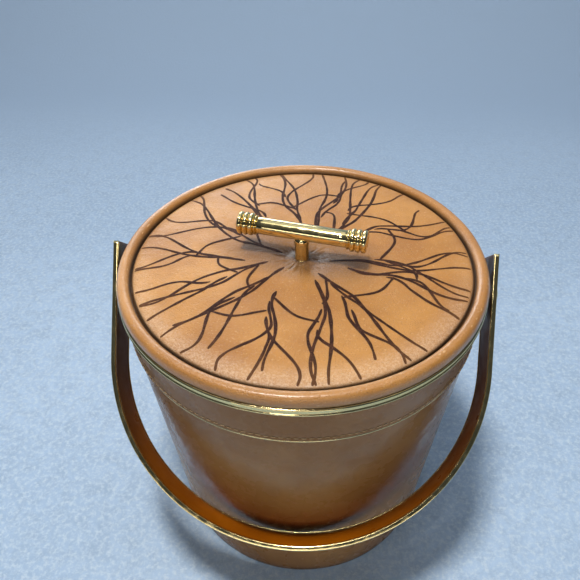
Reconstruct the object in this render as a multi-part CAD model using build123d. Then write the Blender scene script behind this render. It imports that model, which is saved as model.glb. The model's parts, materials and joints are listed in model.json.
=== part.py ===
from build123d import *
from math import asin, cos, degrees, radians, sin, sqrt, tan
import os

# Ice bucket: a leatherette-covered drum with a white liner, a padded lift-off lid with a
# brass bar knob, and a strap handle that swings over the lid on two side pivots.
# Millimetres. Z is up, the bucket stands on Z = 0 and is centred on the Z axis.
# The pivots lie on a line along X. The handle hangs to the front, which is -Y.

# Drum wall, measured on the outside of the leatherette
BASE_RADIUS = 93.5
WALL_LEAN = 0.0925
WALL_BOTTOM = 1.0
WALL_TOP = 208.0
WRAP_THICKNESS = 1.2
SHELL_THICKNESS = 1.5

# Base
PAD_RADIUS = 87.0
BASE_BOARD_BOTTOM = 3.0
BASE_BOARD_TOP = 8.0

# Collar band round the top of the drum, with its stitching and the bead under it
COLLAR_BOTTOM = 181.4
COLLAR_THICKNESS = 1.1
COLLAR_BEAD_HEIGHT = 180.0
COLLAR_BEAD_RADIUS = 1.0
STITCH_HEIGHT = 184.2
STITCH_LENGTH = 2.6
STITCH_SIZE = 0.5
STITCH_COUNT = 170

# Brass ring that caps the drum wall
RING_RADIUS = 115.0
RING_BEAD_RADIUS = 1.3
RING_BEAD_HEIGHT = 210.0
RING_SKIRT_BOTTOM = 206.3
RING_SKIRT_RADIUS = 114.5
RING_INNER_RADIUS = 107.0
RING_SHEET = 0.8

# White liner
LINER_TOP = 211.0
LINER_TOP_RADIUS = 98.0
LINER_LEAN = 0.082
LINER_FLOOR = 16.0
LINER_THICKNESS = 2.0
FOAM_GAP = 0.3

# Handle pivots
PIVOT_HEIGHT = 195.0
SADDLE_FACE = 116.4
SADDLE_WIDTH = 26.0
SADDLE_BOTTOM = 183.4
SADDLE_TOP = 205.9
SADDLE_CORNER = 5.0
STUD_RADIUS = 2.5
STUD_END = 104.2
STUD_HEAD_RADIUS = 7.0
STUD_HEAD_THICKNESS = 2.6
NUT_FACE = 107.8
NUT_THICKNESS = 3.4
NUT_FLANGE = 1.0
NUT_FLANGE_RADIUS = 7.0
NUT_RADIUS = 5.2
NUT_POCKET_RADIUS = 9.0
THREAD_GAP = 0.03
THROUGH_GAP = 0.1
PIVOT_GAP = 0.05

# Strap handle: a part circle between two legs that lean outwards
BEND_INNER = 116.7
LINING_THICKNESS = 0.8
CORE_THICKNESS = 0.8
COVER_THICKNESS = 0.8
STRAP_WIDTH = 28.0
BEND_CENTRE_DROP = 45.2
STRAP_TAIL = 24.0
LEG_LEAN = 1.8
TRIM_LIP = 0.6
TRIM_DEPTH = 3.2
TRIM_WEB = 0.8
TRIM_ROUND = 1.6
BUSH_RADIUS = 3.75
BUSH_FLANGE_RADIUS = 6.2
BUSH_FLANGE = 0.6
HANDLE_REST_ANGLE = 42.9

# Lid, built up from the white plug liner
LID_BOTTOM = 211.35
LID_FLANGE = 1.2
LID_FLANGE_RADIUS = 112.4
PLUG_DEPTH = 18.0
PLUG_GAP = 0.8
PLUG_THICKNESS = 2.0
LID_BOARD_RADIUS = 102.1
LID_BOARD_THICKNESS = 1.95
ROLL_RADIUS = 109.4
ROLL_HEIGHT = 215.8
ROLL_HALF_WIDTH = 5.2
ROLL_HALF_HEIGHT = 5.0
SKIN = 1.0
CUSHION_RADIUS = 103.9
CUSHION_TOP = 220.6
CUSHION_SHOULDER = 3.4
DIMPLE_RADIUS = 30.0
DIMPLE_FLOOR = 217.9
DIMPLE_FLOOR_RADIUS = 7.0
SOFT_GAP = 0.05

# Bar knob
KNOB_TURN = -11.8
BAR_HEIGHT = 238.1
BAR_RADIUS = 5.25
BAR_HALF_LENGTH = 28.3
TENON_RADIUS = 3.5
TENON_LENGTH = 7.0
CAP_LENGTH = 12.0
CAP_COLLAR = 1.6
CAP_COLLAR_RADIUS = 6.1
CAP_NECK_RADIUS = 5.7
CAP_RIB_RADIUS = 7.0
CAP_RIB_COUNT = 3
POST_RADIUS = 4.5
POST_FOOT_RADIUS = 5.0
POST_FOOT = 1.2
SCREW_RADIUS = 2.0
SCREW_TOP = 229.0
SCREW_HEAD_RADIUS = 4.0
SCREW_HEAD = 2.4
KNOB_WASHER_RADIUS = 8.0
KNOB_WASHER = 1.2

BEND_OUTER = BEND_INNER + LINING_THICKNESS + CORE_THICKNESS + COVER_THICKNESS
LEAN = radians(LEG_LEAN)


def leg_reach(bend_radius, above_pivot):
    """Distance from the Z axis to a leg surface at a height above the pivot line."""
    start = bend_radius * cos(LEAN)
    rise = BEND_CENTRE_DROP + bend_radius * sin(LEAN) + above_pivot
    return start + rise * tan(LEAN)


WASHER_FACE = leg_reach(BEND_INNER, -STUD_HEAD_RADIUS) - PIVOT_GAP
BUSH_START = leg_reach(BEND_INNER, -BUSH_RADIUS)
FLANGE_START = leg_reach(BEND_OUTER, BUSH_FLANGE_RADIUS)
HEAD_FACE = FLANGE_START + BUSH_FLANGE + PIVOT_GAP
LID_FLANGE_TOP = LID_BOTTOM + LID_FLANGE
BOARD_BOTTOM = LID_FLANGE_TOP + SOFT_GAP
BOARD_TOP = BOARD_BOTTOM + LID_BOARD_THICKNESS
PLUG_BOTTOM = LID_BOTTOM - PLUG_DEPTH


def wrap_radius(height):
    """Outside radius of the leatherette at a height."""
    return BASE_RADIUS + WALL_LEAN * height


def liner_radius(height):
    """Inside radius of the liner at a height."""
    return LINER_TOP_RADIUS - LINER_LEAN * (LINER_TOP - height)


def turned(points):
    """Solid of revolution about Z from (radius, height) corners."""
    outline = Polyline(*[(radius, 0, height) for radius, height in points], close=True)
    return revolve(make_face(outline), Axis.Z)


def turned_section(section):
    """Solid of revolution about Z from a section drawn as (radius, height)."""
    return revolve(Plane.XZ * section, Axis.Z)


def sleeve(inner_offset, outer_offset, bottom, top):
    """Leaning sleeve between two offsets from the leatherette surface."""
    return turned([
        (wrap_radius(bottom) + inner_offset, bottom),
        (wrap_radius(bottom) + outer_offset, bottom),
        (wrap_radius(top) + outer_offset, top),
        (wrap_radius(top) + inner_offset, top),
    ])


def disc(radius, bottom, top):
    """Round disc on the Z axis."""
    return Pos(0, 0, (bottom + top) / 2) * Cylinder(radius, top - bottom)


def side_rod(radius, start, end):
    """Cylinder along the right-hand pivot line, from one distance out to another."""
    centre = Pos((start + end) / 2, 0, PIVOT_HEIGHT)
    return centre * Cylinder(radius, end - start, rotation=(0, 90, 0))


def pivot_bores(radius):
    """Both pivot holes as one cutting tool."""
    reach = HEAD_FACE + STUD_HEAD_THICKNESS
    return side_rod(radius, -reach, reach)


def other_side(solid):
    """The left-hand twin of a right-hand piece."""
    return mirror(solid, Plane.YZ)


# Drum

def outer_shell():
    inner = -WRAP_THICKNESS - SHELL_THICKNESS
    wall = sleeve(inner, -WRAP_THICKNESS, WALL_BOTTOM, WALL_TOP)
    return wall - pivot_bores(STUD_RADIUS + THROUGH_GAP)


def body_wrap():
    wall = sleeve(-WRAP_THICKNESS, 0, WALL_BOTTOM, WALL_TOP)
    return wall - pivot_bores(STUD_RADIUS + THROUGH_GAP)


def collar_band():
    band = sleeve(0, COLLAR_THICKNESS, COLLAR_BOTTOM, WALL_TOP)
    return band - pivot_bores(STUD_RADIUS + THROUGH_GAP)


def collar_trim():
    """Low rounded bead lying on the leatherette under the collar band."""
    low = COLLAR_BEAD_HEIGHT - COLLAR_BEAD_RADIUS
    high = COLLAR_BEAD_HEIGHT + COLLAR_BEAD_RADIUS
    step = COLLAR_BEAD_RADIUS / 2
    crown = wrap_radius(COLLAR_BEAD_HEIGHT) + COLLAR_BEAD_RADIUS
    return turned([
        (wrap_radius(low), low),
        (crown - step / 2, low + step / 2),
        (crown, low + 2 * step - step / 2),
        (crown, high - 2 * step + step / 2),
        (crown - step / 2, high - step / 2),
        (wrap_radius(high), high),
    ])


def collar_stitching():
    """One row of stitches, left out where the pivot saddles cover the band."""
    band = wrap_radius(STITCH_HEIGHT + STITCH_SIZE) + COLLAR_THICKNESS
    covered = degrees(asin(SADDLE_WIDTH / 2 / band))
    stitch = Pos(band + STITCH_SIZE / 2, 0, STITCH_HEIGHT) * Box(
        STITCH_SIZE, STITCH_LENGTH, STITCH_SIZE
    )
    stitches = []
    for index in range(STITCH_COUNT):
        angle = 360 * (index + 0.5) / STITCH_COUNT
        from_side = min(angle % 180, 180 - angle % 180)
        if from_side > covered:
            stitches.append(Rot(0, 0, angle) * stitch)
    return Compound(children=stitches)


def rim_ring():
    """Brass ring: a round bead, a flange over the wall edges and a short outside skirt."""
    bead = Pos(RING_RADIUS - RING_BEAD_RADIUS, RING_BEAD_HEIGHT) * Circle(RING_BEAD_RADIUS)
    flange_width = RING_SKIRT_RADIUS - RING_INNER_RADIUS
    flange = Pos(RING_INNER_RADIUS + flange_width / 2, WALL_TOP + RING_SHEET / 2) * Rectangle(
        flange_width, RING_SHEET
    )
    skirt_height = WALL_TOP + RING_SHEET - RING_SKIRT_BOTTOM
    collar_face = wrap_radius(WALL_TOP) + COLLAR_THICKNESS
    skirt_width = RING_SKIRT_RADIUS - collar_face
    skirt = Pos(collar_face + skirt_width / 2, RING_SKIRT_BOTTOM + skirt_height / 2) * Rectangle(
        skirt_width, skirt_height
    )
    return turned_section(bead + flange + skirt)


def inner_liner():
    """White cup with a flange that rests on the brass ring."""
    wall = LINER_THICKNESS
    flange_bottom = WALL_TOP + RING_SHEET
    bead_inside = RING_RADIUS - 2 * RING_BEAD_RADIUS - FOAM_GAP
    outer_floor = LINER_FLOOR - wall
    return turned([
        (0, outer_floor),
        (liner_radius(outer_floor) + wall, outer_floor),
        (liner_radius(flange_bottom) + wall, flange_bottom),
        (bead_inside, flange_bottom),
        (bead_inside, LINER_TOP),
        (liner_radius(LINER_TOP), LINER_TOP),
        (liner_radius(LINER_FLOOR), LINER_FLOOR),
        (0, LINER_FLOOR),
    ])


def wall_insulation():
    """Foam cup between shell and liner, cut through where the pivot nuts sit."""
    shell_inside = -WRAP_THICKNESS - SHELL_THICKNESS - FOAM_GAP
    floor = LINER_FLOOR - LINER_THICKNESS - FOAM_GAP
    bottom = BASE_BOARD_TOP
    top = WALL_TOP - FOAM_GAP
    liner_side = LINER_THICKNESS + FOAM_GAP
    foam = turned([
        (0, bottom),
        (wrap_radius(bottom) + shell_inside, bottom),
        (wrap_radius(top) + shell_inside, top),
        (liner_radius(top) + liner_side, top),
        (liner_radius(floor) + liner_side, floor),
        (0, floor),
    ])
    return foam - pivot_bores(NUT_POCKET_RADIUS)


def base_board():
    inside = -WRAP_THICKNESS - SHELL_THICKNESS
    return turned([
        (0, BASE_BOARD_BOTTOM),
        (wrap_radius(BASE_BOARD_BOTTOM) + inside, BASE_BOARD_BOTTOM),
        (wrap_radius(BASE_BOARD_TOP) + inside, BASE_BOARD_TOP),
        (0, BASE_BOARD_TOP),
    ])


def base_pad():
    return disc(PAD_RADIUS, 0, BASE_BOARD_BOTTOM)


# Pivots, drawn on the right-hand side

def saddle():
    """Covered block with a flat outer face, hollowed to fit round the collar."""
    height = SADDLE_TOP - SADDLE_BOTTOM
    depth = SADDLE_FACE - LINER_TOP_RADIUS
    block = Box(depth, SADDLE_WIDTH, height)
    block = fillet(block.edges().filter_by(Axis.X), SADDLE_CORNER)
    block = Pos(SADDLE_FACE - depth / 2, 0, (SADDLE_TOP + SADDLE_BOTTOM) / 2) * block
    drum = turned([
        (0, SADDLE_BOTTOM),
        (wrap_radius(SADDLE_BOTTOM) + COLLAR_THICKNESS, SADDLE_BOTTOM),
        (wrap_radius(SADDLE_TOP) + COLLAR_THICKNESS, SADDLE_TOP),
        (0, SADDLE_TOP),
    ])
    return block - drum - pivot_bores(STUD_RADIUS + THROUGH_GAP)


def pivot_washer():
    """Spacer between the saddle and the strap."""
    washer = side_rod(STUD_HEAD_RADIUS, SADDLE_FACE, WASHER_FACE)
    return washer - pivot_bores(STUD_RADIUS + THROUGH_GAP)


def pivot_stud():
    """Brass stud with a shallow domed head outside the strap."""
    shank = side_rod(STUD_RADIUS, STUD_END, HEAD_FACE)
    head = side_rod(STUD_HEAD_RADIUS, HEAD_FACE, HEAD_FACE + STUD_HEAD_THICKNESS)
    rim = head.edges().sort_by(Axis.X)[-1]
    return shank + fillet(rim, STUD_HEAD_THICKNESS * 0.75)


def pivot_nut():
    """Flanged hexagon nut inside the drum wall."""
    flange = side_rod(NUT_FLANGE_RADIUS, NUT_FACE - NUT_FLANGE, NUT_FACE)
    hexagon = extrude(RegularPolygon(NUT_RADIUS, 6), NUT_THICKNESS)
    nut = Pos(NUT_FACE - NUT_THICKNESS, 0, PIVOT_HEIGHT) * Rot(0, 90, 0) * hexagon
    return flange + nut - pivot_bores(STUD_RADIUS + THREAD_GAP)


# Handle, drawn hanging straight down from a pivot line through the origin

def strap_section(inner, outer, near, far):
    """Rectangle across the right-hand leg: distances out, then positions across the width."""
    return Pos((inner + outer) / 2, (near + far) / 2) * Rectangle(outer - inner, far - near)


def bent_strap(section):
    """Runs a section down one leaning leg, round the bend and up the other leg."""
    bend_radius = (BEND_INNER + BEND_OUTER) / 2
    rise = BEND_CENTRE_DROP + bend_radius * sin(LEAN) + STRAP_TAIL
    leg = Rot(0, LEG_LEAN, 0) * extrude(section, rise / cos(LEAN))
    bend = Rot(0, LEG_LEAN, 0) * revolve(section, Axis.Y, 180 - 2 * LEG_LEAN)
    return Pos(0, 0, -BEND_CENTRE_DROP) * (leg + bend + other_side(leg))


def at_rest(solid):
    """Lifts a handle piece to the pivots and swings it forward to rest on the drum."""
    return Pos(0, 0, PIVOT_HEIGHT) * Rot(-HANDLE_REST_ANGLE, 0, 0) * solid


def strap_layer(inner, thickness):
    """One flat layer of the strap, with a hole at each end for the bush."""
    half = STRAP_WIDTH / 2 - TRIM_WEB
    layer = bent_strap(strap_section(inner, inner + thickness, -half, half))
    hole = Cylinder(BUSH_RADIUS + PIVOT_GAP, 2 * HEAD_FACE, rotation=(0, 90, 0))
    return at_rest(layer - hole)


def handle_lining():
    return strap_layer(BEND_INNER, LINING_THICKNESS)


def handle_core():
    return strap_layer(BEND_INNER + LINING_THICKNESS, CORE_THICKNESS)


def handle_cover():
    return strap_layer(BEND_OUTER - COVER_THICKNESS, COVER_THICKNESS)


def handle_trim_rear():
    """Brass channel gripping the rear edge of the strap."""
    half = STRAP_WIDTH / 2
    outside = strap_section(
        BEND_INNER - TRIM_LIP, BEND_OUTER + TRIM_LIP, half - TRIM_DEPTH, half
    )
    rounded = fillet(outside.vertices().sort_by(Axis.Y)[-2:], TRIM_ROUND)
    slot = strap_section(BEND_INNER, BEND_OUTER, half - TRIM_DEPTH, half - TRIM_WEB)
    return at_rest(bent_strap(rounded - slot))


def handle_trim_front():
    """Brass channel gripping the front edge of the strap."""
    half = STRAP_WIDTH / 2
    outside = strap_section(
        BEND_INNER - TRIM_LIP, BEND_OUTER + TRIM_LIP, -half, TRIM_DEPTH - half
    )
    rounded = fillet(outside.vertices().sort_by(Axis.Y)[:2], TRIM_ROUND)
    slot = strap_section(BEND_INNER, BEND_OUTER, TRIM_WEB - half, TRIM_DEPTH - half)
    return at_rest(bent_strap(rounded - slot))


def handle_bush():
    """Brass bush lining the pivot hole, with a flange on the outside of the strap."""
    barrel = side_rod(BUSH_RADIUS, BUSH_START, FLANGE_START)
    flange = side_rod(BUSH_FLANGE_RADIUS, FLANGE_START, FLANGE_START + BUSH_FLANGE)
    return barrel + flange - pivot_bores(STUD_RADIUS + PIVOT_GAP)


# Lid

def lid_liner():
    """White plug cup that drops into the liner, with a flange that rests on the ring."""
    wall = PLUG_THICKNESS
    floor = PLUG_BOTTOM + wall
    outside_bottom = liner_radius(PLUG_BOTTOM) - PLUG_GAP
    outside_top = liner_radius(LID_BOTTOM) - PLUG_GAP
    inside_floor = liner_radius(floor) - PLUG_GAP - wall
    return turned([
        (0, PLUG_BOTTOM),
        (outside_bottom, PLUG_BOTTOM),
        (outside_top, LID_BOTTOM),
        (LID_FLANGE_RADIUS, LID_BOTTOM),
        (LID_FLANGE_RADIUS, LID_FLANGE_TOP),
        (outside_top - wall, LID_FLANGE_TOP),
        (inside_floor, floor),
        (0, floor),
    ])


def lid_insulation():
    """Foam disc inside the plug, with a pocket for the knob screw."""
    bottom = PLUG_BOTTOM + PLUG_THICKNESS + SOFT_GAP
    top = LID_FLANGE_TOP
    inside = PLUG_GAP + PLUG_THICKNESS + FOAM_GAP
    foam = turned([
        (0, bottom),
        (liner_radius(bottom) - inside, bottom),
        (liner_radius(LID_BOTTOM) - inside, top),
        (0, top),
    ])
    pocket_bottom = BOARD_BOTTOM - KNOB_WASHER - SCREW_HEAD - FOAM_GAP
    return foam - disc(KNOB_WASHER_RADIUS + FOAM_GAP, pocket_bottom, top)


def lid_board():
    board = disc(LID_BOARD_RADIUS, BOARD_BOTTOM, BOARD_TOP)
    return board - disc(SCREW_RADIUS + THROUGH_GAP, BOARD_BOTTOM, BOARD_TOP)


def roll_section(inset):
    """Section of the rolled rim, cut flat where it sits on the lid flange."""
    oval = Pos(ROLL_RADIUS, ROLL_HEIGHT) * Ellipse(
        ROLL_HALF_WIDTH - inset, ROLL_HALF_HEIGHT - inset
    )
    below = Pos(ROLL_RADIUS, BOARD_BOTTOM - ROLL_HALF_HEIGHT) * Rectangle(
        4 * ROLL_HALF_WIDTH, 2 * ROLL_HALF_HEIGHT
    )
    return oval - below


def lid_rim_cover():
    return turned_section(roll_section(0) - roll_section(SKIN))


def lid_rim_core():
    return turned_section(roll_section(SKIN + SOFT_GAP))


def cushion_section(inset, bottom):
    """Half section of the domed cushion with a dish round the knob."""
    rim = CUSHION_RADIUS - inset
    top = CUSHION_TOP - inset
    shoulder = CUSHION_SHOULDER - inset
    spring = CUSHION_TOP - CUSHION_SHOULDER
    hole = SCREW_RADIUS + THROUGH_GAP
    dish = DIMPLE_FLOOR - inset
    turn = 1 / sqrt(2)
    edges = [
        Line((hole, bottom), (rim, bottom)),
        Line((rim, bottom), (rim, spring)),
        ThreePointArc(
            (rim, spring),
            (rim - shoulder + shoulder * turn, spring + shoulder * turn),
            (rim - shoulder, top),
        ),
        Line((rim - shoulder, top), (DIMPLE_RADIUS, top)),
        Line((DIMPLE_RADIUS, top), (DIMPLE_FLOOR_RADIUS, dish)),
        Line((DIMPLE_FLOOR_RADIUS, dish), (hole, dish)),
        Line((hole, dish), (hole, bottom)),
    ]
    return make_face(edges)


def lid_panel_cover():
    inside = cushion_section(SKIN, BOARD_BOTTOM)
    return turned_section(cushion_section(0, BOARD_BOTTOM) - inside)


def lid_pad():
    return turned_section(cushion_section(SKIN + SOFT_GAP, BOARD_TOP + SOFT_GAP))


# Knob

def along_bar(solid):
    """Lays a piece drawn along Z onto the knob bar's axis."""
    return Pos(0, 0, BAR_HEIGHT) * Rot(0, 0, KNOB_TURN) * Rot(0, 90, 0) * solid


def knob_bar():
    """Round bar with a tenon at each end for the caps."""
    bar = Cylinder(BAR_RADIUS, 2 * BAR_HALF_LENGTH)
    tenons = Cylinder(TENON_RADIUS, 2 * (BAR_HALF_LENGTH + TENON_LENGTH))
    return along_bar(bar + tenons)


def end_cap():
    """Ribbed cap drawn along Z from the bar shoulder outwards."""
    start = BAR_HALF_LENGTH
    pitch = (CAP_LENGTH - CAP_COLLAR) / CAP_RIB_COUNT
    rib = pitch / 2
    cap = Pos(0, 0, start + CAP_COLLAR / 2) * Cylinder(CAP_COLLAR_RADIUS, CAP_COLLAR)
    middle = start + CAP_COLLAR + (CAP_LENGTH - CAP_COLLAR - rib) / 2
    cap += Pos(0, 0, middle) * Cylinder(CAP_NECK_RADIUS, CAP_LENGTH - CAP_COLLAR - rib)
    for index in range(CAP_RIB_COUNT):
        height = start + CAP_COLLAR + pitch * (index + 0.5)
        cap += Pos(0, 0, height) * Torus(CAP_RIB_RADIUS - rib, rib)
        cap += Pos(0, 0, height) * Cylinder(CAP_RIB_RADIUS - rib, 2 * rib)
    depth = TENON_LENGTH + THROUGH_GAP
    return cap - Pos(0, 0, start + depth / 2) * Cylinder(TENON_RADIUS + THREAD_GAP, depth)


def knob_cap_right():
    return along_bar(end_cap())


def knob_cap_left():
    return along_bar(Rot(0, 180, 0) * end_cap())


def knob_post():
    """Post standing in the dish, hollowed at the top to carry the bar."""
    post = disc(POST_RADIUS, DIMPLE_FLOOR, BAR_HEIGHT)
    post += disc(POST_FOOT_RADIUS, DIMPLE_FLOOR, DIMPLE_FLOOR + POST_FOOT)
    post -= disc(SCREW_RADIUS + THREAD_GAP, DIMPLE_FLOOR, SCREW_TOP + THROUGH_GAP)
    return post - along_bar(Cylinder(BAR_RADIUS, 2 * BAR_HALF_LENGTH))


def knob_washer():
    washer = disc(KNOB_WASHER_RADIUS, BOARD_BOTTOM - KNOB_WASHER, BOARD_BOTTOM)
    return washer - disc(SCREW_RADIUS + THROUGH_GAP, BOARD_BOTTOM - KNOB_WASHER, BOARD_BOTTOM)


def knob_screw():
    """Screw that pulls the post down on to the lid board from below."""
    head_top = BOARD_BOTTOM - KNOB_WASHER
    head = disc(SCREW_HEAD_RADIUS, head_top - SCREW_HEAD, head_top)
    return head + disc(SCREW_RADIUS, head_top, SCREW_TOP)


NODES = {
    "outer_shell": outer_shell,
    "body_wrap": body_wrap,
    "collar_band": collar_band,
    "collar_stitching": collar_stitching,
    "collar_trim": collar_trim,
    "rim_ring": rim_ring,
    "inner_liner": inner_liner,
    "wall_insulation": wall_insulation,
    "base_board": base_board,
    "base_pad": base_pad,
    "lid_liner": lid_liner,
    "lid_insulation": lid_insulation,
    "lid_board": lid_board,
    "lid_pad": lid_pad,
    "lid_panel_cover": lid_panel_cover,
    "lid_rim_core": lid_rim_core,
    "lid_rim_cover": lid_rim_cover,
    "knob_bar": knob_bar,
    "knob_cap_left": knob_cap_left,
    "knob_cap_right": knob_cap_right,
    "knob_post": knob_post,
    "knob_washer": knob_washer,
    "knob_screw": knob_screw,
    "handle_lining": handle_lining,
    "handle_core": handle_core,
    "handle_cover": handle_cover,
    "handle_trim_front": handle_trim_front,
    "handle_trim_rear": handle_trim_rear,
}

PAIRED_NODES = {
    "saddle": saddle,
    "pivot_washer": pivot_washer,
    "pivot_stud": pivot_stud,
    "pivot_nut": pivot_nut,
    "handle_bush": handle_bush,
}

os.makedirs("parts", exist_ok=True)

for name, build in NODES.items():
    export_step(build(), f"parts/{name}.step")

for name, build in PAIRED_NODES.items():
    piece = build()
    export_step(piece, f"parts/{name}_right.step")
    export_step(other_side(piece), f"parts/{name}_left.step")
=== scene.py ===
import json
import random
from collections import namedtuple
from math import asin, atan2, ceil, cos, exp, hypot, pi, radians, sin, sqrt

import bmesh
import bpy
from mathutils import Matrix, Vector, noise
from mathutils.bvhtree import BVHTree


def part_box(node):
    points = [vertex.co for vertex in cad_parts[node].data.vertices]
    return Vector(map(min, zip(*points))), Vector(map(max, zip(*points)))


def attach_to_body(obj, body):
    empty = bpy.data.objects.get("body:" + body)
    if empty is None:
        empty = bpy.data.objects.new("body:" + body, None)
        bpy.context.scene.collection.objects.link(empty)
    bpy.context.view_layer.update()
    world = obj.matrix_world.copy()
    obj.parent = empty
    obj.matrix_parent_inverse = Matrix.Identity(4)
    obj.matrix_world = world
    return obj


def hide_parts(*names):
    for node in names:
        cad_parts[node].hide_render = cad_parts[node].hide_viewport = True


# Looks for the ice bucket: leatherette, padding, stitching, brass and liner, built round the
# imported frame. Lengths are in millimetres until a mesh is made; shaders work in metres.
MM = 0.001
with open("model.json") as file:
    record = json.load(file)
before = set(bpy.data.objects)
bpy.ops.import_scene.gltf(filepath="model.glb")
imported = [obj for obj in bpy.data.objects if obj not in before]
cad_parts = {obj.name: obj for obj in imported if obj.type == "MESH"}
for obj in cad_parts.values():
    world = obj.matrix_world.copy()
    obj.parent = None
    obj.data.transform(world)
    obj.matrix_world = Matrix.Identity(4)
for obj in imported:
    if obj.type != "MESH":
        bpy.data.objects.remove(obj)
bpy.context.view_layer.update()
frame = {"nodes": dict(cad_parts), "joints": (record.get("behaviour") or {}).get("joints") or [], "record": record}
scene = bpy.context.scene


def low_high(node):
    """Lowest and highest corner of a CAD node in millimetres."""
    low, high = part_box(node)
    return low / MM, high / MM


# Sizes read from the frame
WRAP_LOW, WRAP_HIGH = low_high("body_wrap")
BAND_LOW, BAND_HIGH = low_high("collar_band")
RING_LOW, RING_HIGH = low_high("rim_ring")
BEAD_LOW, BEAD_HIGH = low_high("collar_trim")
STITCH_LOW, STITCH_HIGH = low_high("collar_stitching")
SADDLE_LOW, SADDLE_HIGH = low_high("saddle_right")
STUD_LOW, STUD_HIGH = low_high("pivot_stud_right")
ROLL_LOW, ROLL_HIGH = low_high("lid_rim_cover")
PANEL_HIGH = low_high("lid_panel_cover")[1]
FLANGE_HIGH = low_high("lid_liner")[1]
POST_LOW = low_high("knob_post")[0]
PIVOT_HEIGHT = next(j for j in frame["joints"] if j["name"] == "handle_swing")["pos_m"][2] / MM

# Drum and collar
WALL_LEAN = 0.0925
BASE_RADIUS = WRAP_HIGH.x - WALL_LEAN * WRAP_HIGH.z
WRAP_THICKNESS = 1.2
BAND_THICKNESS = 1.1
FIT_GAP = 0.05
STITCH_HEIGHT = (STITCH_LOW.z + STITCH_HIGH.z) / 2
SADDLE_HALF_WIDTH = (SADDLE_HIGH.y - SADDLE_LOW.y) / 2
SEAM_ANGLE = pi / 2
TURN_STEPS = 1080
BRASS_STEPS = 720

# Lid
ROLL_HALF_WIDTH = 5.2
ROLL_CENTRE = ROLL_HIGH.x - ROLL_HALF_WIDTH
ROLL_NARROW = 2.1
ROLL_SPRING = 213.9
PANEL_SHOULDER = 3.0
PANEL_FALL = 2.4
KNOB_TURN = radians(-11.8)
BAR_HEIGHT = 238.1
BAR_RADIUS = 5.25
BAR_HALF = 28.3

# Lines on the panel
LINE_SEED = 21
TRUNKS = 14
TWIGS = 4
LINE_REACH = PANEL_HIGH.x - 0.2
ROOT_RADIUS = 16

# Handle: a round bend with a straight leg up to each pivot
BEND_RADIUS = 117.9
BEND_DROP = 45.2
LEG_LEAN = radians(1.8)
STRAP_TAIL = 24.0
STRAP_HALF = 14.0
REST_ANGLE = radians(42.9)

# Camera: turned and tipped from level, looking along +Y
CAMERA_PLACE = Vector((21.22, -316.34, 463.97)) * MM
CAMERA_YAW = radians(-5.253)
CAMERA_PITCH = radians(40.632)
CAMERA_ROLL = radians(-1.133)
SENSOR_WIDTH = 36.0
FOCAL_LENGTH = 39.7437


def wrap_radius(height):
    """Outside radius of the drum's covering."""
    return BASE_RADIUS + WALL_LEAN * height


def bell(value, centre, width):
    """Smooth hump, 1 at its centre and fading over its width."""
    return exp(-((value - centre) / width) ** 2)


# Materials

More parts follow.
